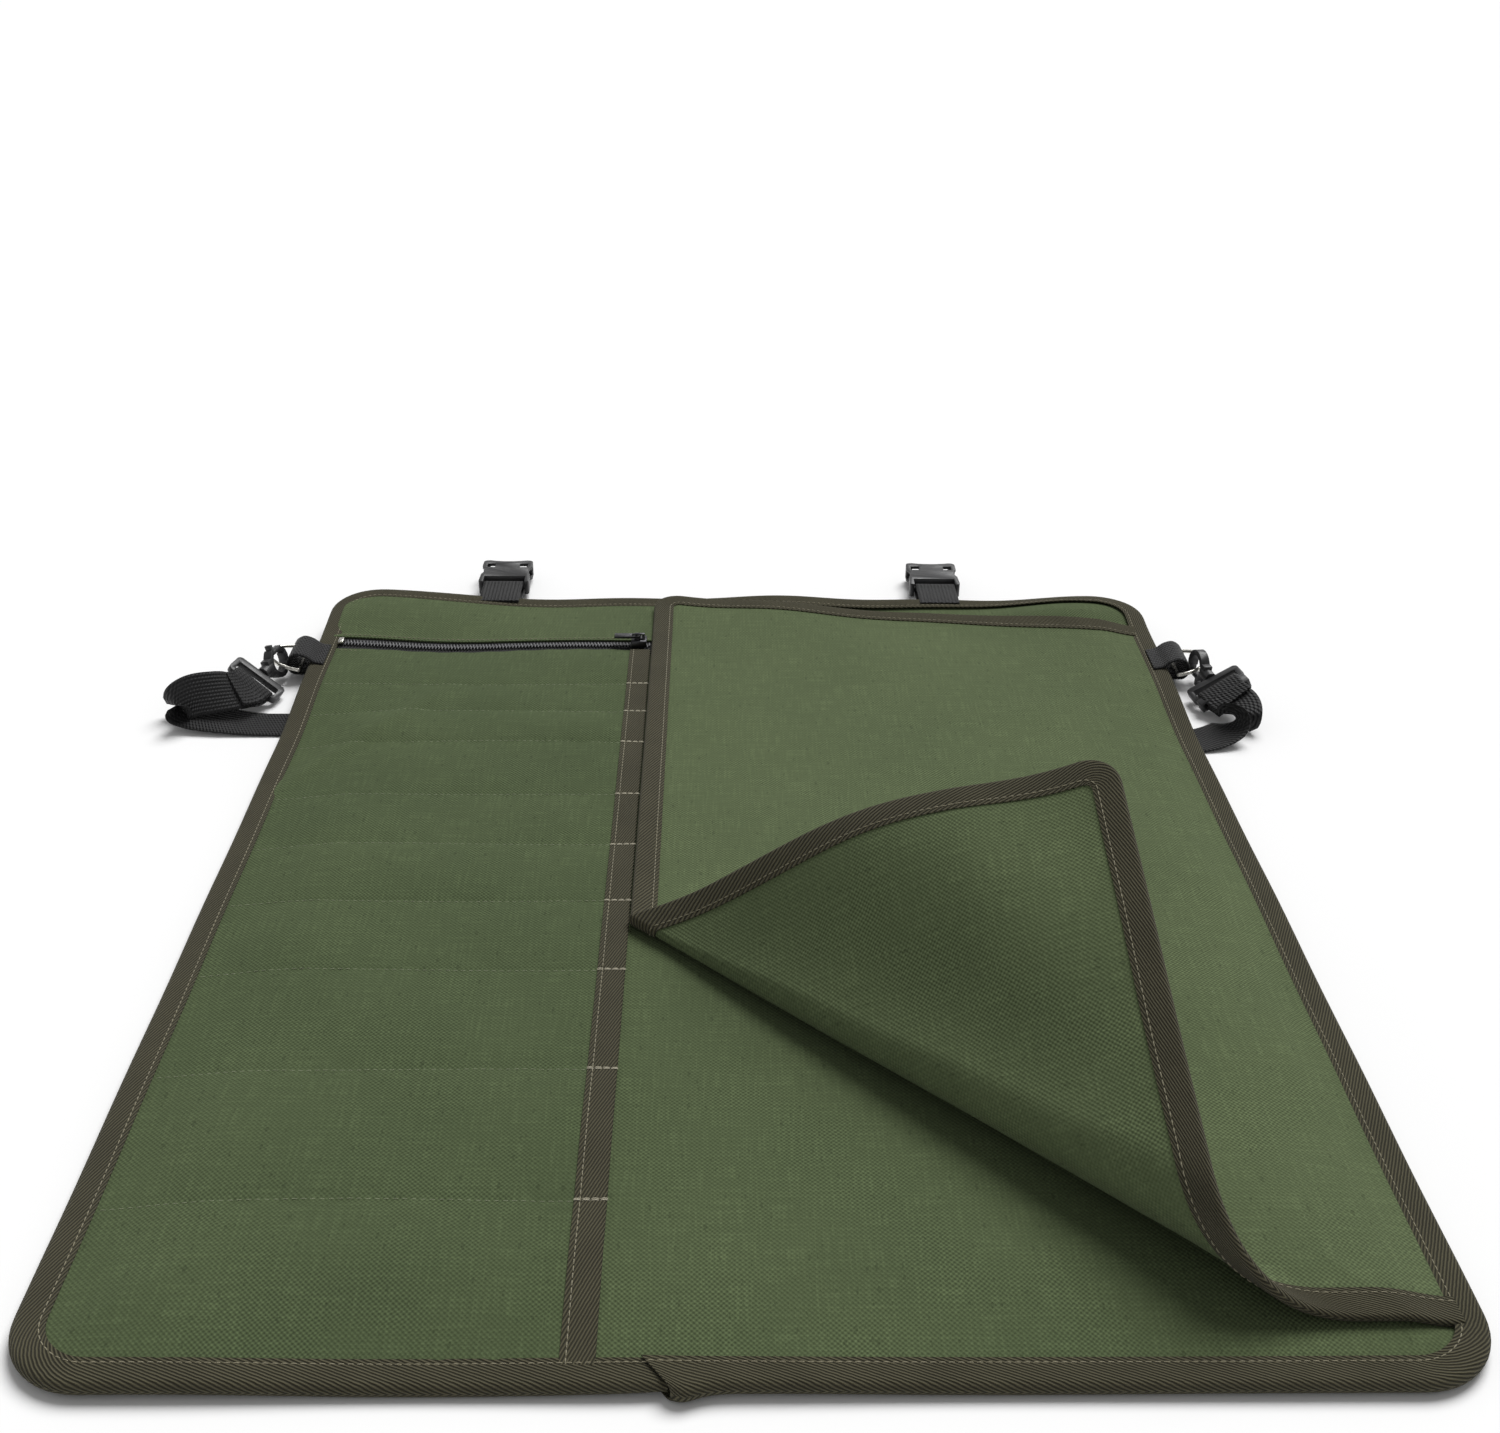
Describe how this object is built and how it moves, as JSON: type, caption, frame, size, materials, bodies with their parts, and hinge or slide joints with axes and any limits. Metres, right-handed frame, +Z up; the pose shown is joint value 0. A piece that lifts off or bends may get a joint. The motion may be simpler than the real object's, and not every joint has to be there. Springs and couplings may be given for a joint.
{
  "type": "carving tool roll",
  "caption": "Laid-open canvas tool roll with bound edges, tool pockets, zipped pocket, cover flap with a folded-back corner, closing buckles and a clip-on strap.",
  "frame": {"origin": "under the middle of the whole object's box, on the surface it lies on", "axes": "+X to the right as the user faces the open roll, +Y away from the user towards the buckles, +Z up"},
  "size_m": [0.6112, 0.6676, 0.1186],
  "materials": {
    "canvas": "olive green plain-weave cotton canvas",
    "binding": "dark olive-brown herringbone twill tape",
    "webbing": "black ribbed polypropylene webbing",
    "zip": "black coil zip on black tape",
    "plastic": "black moulded acetal, satin",
    "steel": "nickel-plated wire and die-cast slider"
  },
  "bodies": {
    "sheet": {"base_panel": "canvas", "edge_binding": "binding", "pocket_panel": "canvas", "pocket_mouth_binding": "binding", "zip_pocket_panel": "canvas", "zip_tape_front": "zip", "zip_tape_back": "zip", "zip_coil_front": "zip", "zip_coil_back": "zip", "zip_end_stop": "steel", "buckle_tab_left": "webbing", "buckle_tab_right": "webbing", "ring_tab_left": "webbing", "ring_tab_right": "webbing", "shoulder_strap": "webbing", "strap_adjuster": "plastic", "swivel_eye_left": "plastic", "swivel_eye_right": "plastic", "closure_strap_left": "webbing", "closure_strap_right": "webbing", "plug_frame_left": "plastic", "plug_frame_right": "plastic"},
    "flap": {"flap_panel": "canvas", "flap_edge_binding": "binding", "flap_front_binding": "binding", "flap_fold": "canvas", "flap_fold_binding": "binding"},
    "flap_corner": {"flap_corner": "canvas", "flap_corner_binding": "binding"},
    "zip_slider": {"zip_slider": "steel"},
    "zip_pull": {"zip_pull": "steel"},
    "buckle_socket_left": {"buckle_socket_left": "plastic"},
    "buckle_socket_right": {"buckle_socket_right": "plastic"},
    "d_ring_left": {"d_ring_left": "steel"},
    "d_ring_right": {"d_ring_right": "steel"},
    "snap_hook_left": {"snap_hook_left": "plastic"},
    "snap_hook_right": {"snap_hook_right": "plastic"},
    "snap_gate_left": {"snap_gate_left": "plastic"},
    "snap_gate_right": {"snap_gate_right": "plastic"},
    "plug_prong_left_a": {"plug_prong_left_a": "plastic"},
    "plug_prong_left_b": {"plug_prong_left_b": "plastic"},
    "plug_prong_right_a": {"plug_prong_right_a": "plastic"},
    "plug_prong_right_b": {"plug_prong_right_b": "plastic"}
  },
  "joints": [
    {"name": "flap_hinge", "type": "hinge", "parent": "sheet", "child": "flap", "pos_m": [0.25347, -0.02685, 0.01145], "axis": [0, 1, 0], "range_deg": [0, 130]},
    {"name": "corner_unfold", "type": "hinge", "parent": "flap", "child": "flap_corner", "pos_m": [-0.03953, -0.07545, 0.01145], "axis": [0.6839, -0.7283, 0.0421], "range_deg": [0, 142], "deforming": ["flap_fold", "flap_fold_binding"]},
    {"name": "zip_slide", "type": "slide", "parent": "sheet", "child": "zip_slider", "axis": [-1, 0, 0], "range_m": [0, 0.165]},
    {"name": "zip_pull_swing", "type": "hinge", "parent": "zip_slider", "child": "zip_pull", "pos_m": [-0.04403, 0.21115, 0.0161], "axis": [0, 1, 0], "range_deg": [0, 170]},
    {"name": "buckle_swing_left", "type": "hinge", "parent": "sheet", "child": "buckle_socket_left", "pos_m": [-0.13453, 0.30215, 0.0075], "axis": [1, 0, 0], "range_deg": [0, 100]},
    {"name": "buckle_swing_right", "type": "hinge", "parent": "sheet", "child": "buckle_socket_right", "pos_m": [0.14147, 0.30215, 0.0075], "axis": [1, 0, 0], "range_deg": [0, 100]},
    {"name": "d_ring_swing_left", "type": "hinge", "parent": "sheet", "child": "d_ring_left", "pos_m": [-0.23953, 0.19315, 0.0085], "axis": [0, 1, 0], "range_deg": [-1, 1]},
    {"name": "hook_swivel_left", "type": "hinge", "parent": "sheet", "child": "snap_hook_left", "pos_m": [-0.25273, 0.18295, 0.012], "axis": [-0.2419, -0.9703, 0], "range_deg": [-3, 3]},
    {"name": "gate_left", "type": "hinge", "parent": "snap_hook_left", "child": "snap_gate_left", "pos_m": [-0.25491, 0.1802, 0.01782], "axis": [-0.9415, 0.2347, -0.2419], "range_deg": [0, 7], "stiffness_Nm_per_rad": 0.05},
    {"name": "d_ring_swing_right", "type": "hinge", "parent": "sheet", "child": "d_ring_right", "pos_m": [0.27047, 0.19315, 0.0085], "axis": [0, -1, 0], "range_deg": [-1, 1]},
    {"name": "hook_swivel_right", "type": "hinge", "parent": "sheet", "child": "snap_hook_right", "pos_m": [0.28307, 0.18315, 0.0123], "axis": [0.1633, -0.9866, 0], "range_deg": [-3, 3]},
    {"name": "gate_right", "type": "hinge", "parent": "snap_hook_right", "child": "snap_gate_right", "pos_m": [0.28339, 0.17996, 0.0063], "axis": [0.986, 0.1632, -0.0349], "range_deg": [0, 7], "stiffness_Nm_per_rad": 0.05},
    {"name": "prong_left_a", "type": "hinge", "parent": "sheet", "child": "plug_prong_left_a", "pos_m": [-0.14453, -0.19345, 0.003], "axis": [0, 0, 1], "range_deg": [0, 7], "stiffness_Nm_per_rad": 0.3},
    {"name": "prong_left_b", "type": "hinge", "parent": "sheet", "child": "plug_prong_left_b", "pos_m": [-0.12453, -0.19345, 0.003], "axis": [0, 0, -1], "range_deg": [0, 7], "stiffness_Nm_per_rad": 0.3},
    {"name": "prong_right_a", "type": "hinge", "parent": "sheet", "child": "plug_prong_right_a", "pos_m": [0.13147, -0.19345, 0.003], "axis": [0, 0, 1], "range_deg": [0, 7], "stiffness_Nm_per_rad": 0.3},
    {"name": "prong_right_b", "type": "hinge", "parent": "sheet", "child": "plug_prong_right_b", "pos_m": [0.15147, -0.19345, 0.003], "axis": [0, 0, -1], "range_deg": [0, 7], "stiffness_Nm_per_rad": 0.3}
  ]
}
